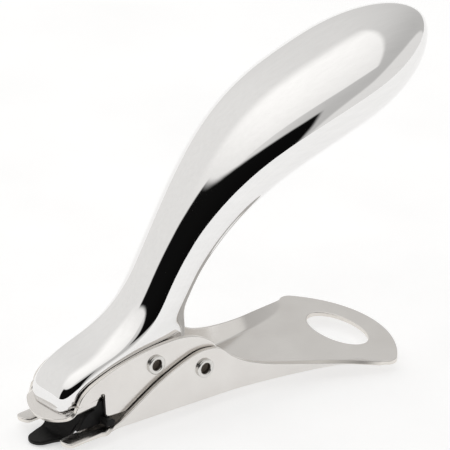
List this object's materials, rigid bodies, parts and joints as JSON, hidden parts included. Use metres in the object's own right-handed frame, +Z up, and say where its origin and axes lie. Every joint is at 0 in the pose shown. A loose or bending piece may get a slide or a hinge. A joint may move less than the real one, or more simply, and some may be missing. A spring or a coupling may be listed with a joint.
{
  "type": "staple remover",
  "caption": "Plier-style staple remover: stamped base with claws and a flared tail, and a sprung lever with a lifting tongue and a bulbous chromed handle.",
  "frame": {"origin": "below the middle of the whole object, at the level of its lowest point, the underside of the tongue's tip", "axes": "+X from the claws to the tail, +Y across the tool, +Z up from the base"},
  "size_m": [0.1196, 0.0446, 0.0859],
  "materials": {
    "nickel_sheet": "bright nickel plate over smooth sheet steel",
    "chrome_casting": "mirror chrome plate",
    "black_steel": "satin black on hardened steel",
    "rivet_steel": "plated, rolled rims",
    "spring_wire": "drawn spring wire"
  },
  "bodies": {
    "base": {"base_frame": "nickel_sheet", "pivot_rivet": "rivet_steel", "pivot_sleeve": "rivet_steel", "torsion_spring": "spring_wire"},
    "lever": {"jaw_bracket": "nickel_sheet", "handle": "chrome_casting", "lifting_tongue": "black_steel", "tongue_rivets": "rivet_steel", "handle_rivet": "rivet_steel"}
  },
  "joints": [
    {"name": "squeeze", "type": "hinge", "parent": "base", "child": "lever", "pos_m": [-0.0149, 0, 0.0116], "axis": [0, 1, 0], "range_deg": [0, 25], "stiffness_Nm_per_rad": 1.6, "springref_deg": -14.32, "deforming": ["torsion_spring"]}
  ]
}
